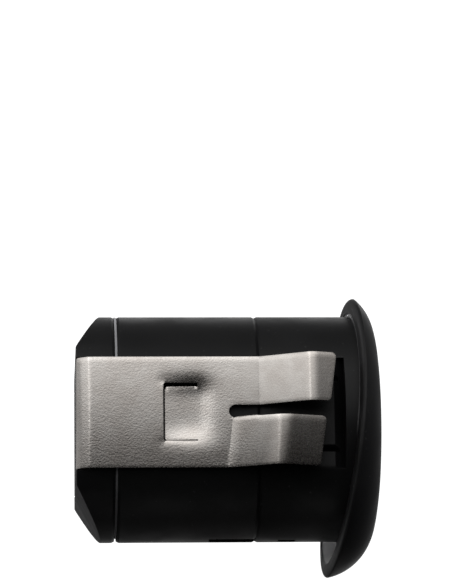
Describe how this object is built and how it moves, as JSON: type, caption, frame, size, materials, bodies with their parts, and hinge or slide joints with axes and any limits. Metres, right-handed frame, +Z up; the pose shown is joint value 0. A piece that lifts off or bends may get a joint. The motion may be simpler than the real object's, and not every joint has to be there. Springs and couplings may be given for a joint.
{
  "type": "parking sensor",
  "caption": "Ultrasonic parking sensor: snap-in barrel with a tilted oval flange, a round membrane in a drained recess, steel spring clips on its sides and a plug socket in its rear.",
  "frame": {"origin": "where the barrel's axis meets the seat plane at the back of the flange", "axes": "+X along the barrel's axis, out of the sensing face; +Z up as fitted in a bumper; the seat plane leans 5.5 degrees, its top forward"},
  "size_m": [0.0308, 0.0278, 0.029],
  "materials": {
    "housing": "fine matt moulding",
    "seal": "satin",
    "spring_steel": "fine pebbled satin",
    "membrane": "matt paint",
    "soft_ring": "matt",
    "ceramic": "fired, matt",
    "pad": "open foam",
    "fill": "cured silicone",
    "live_wire": "insulated",
    "ground_wire": "insulated",
    "board": "solder resist",
    "chip": "moulded",
    "ferrite": "sintered",
    "copper": "enamelled wire",
    "film_capacitor": "moulded",
    "ceramic_capacitor": "fired",
    "contacts": "tin plated"
  },
  "bodies": {
    "root": {"front_housing": "housing", "main_housing": "housing", "rear_cap": "housing", "rear_seal": "seal", "right_clip": "spring_steel", "left_clip": "spring_steel", "transducer_cup": "membrane", "decoupling_ring": "soft_ring", "piezo_disc": "ceramic", "damping_pad": "pad", "backing_fill": "fill", "live_lead": "live_wire", "ground_lead": "ground_wire", "circuit_board": "board", "driver_chip": "chip", "transformer_core": "ferrite", "transformer_coil": "copper", "storage_capacitor": "film_capacitor", "ceramic_capacitor_1": "ceramic_capacitor", "ceramic_capacitor_2": "ceramic_capacitor", "ceramic_capacitor_3": "ceramic_capacitor", "contact_pin_1": "contacts", "contact_pin_2": "contacts", "contact_pin_3": "contacts"}
  },
  "joints": []
}
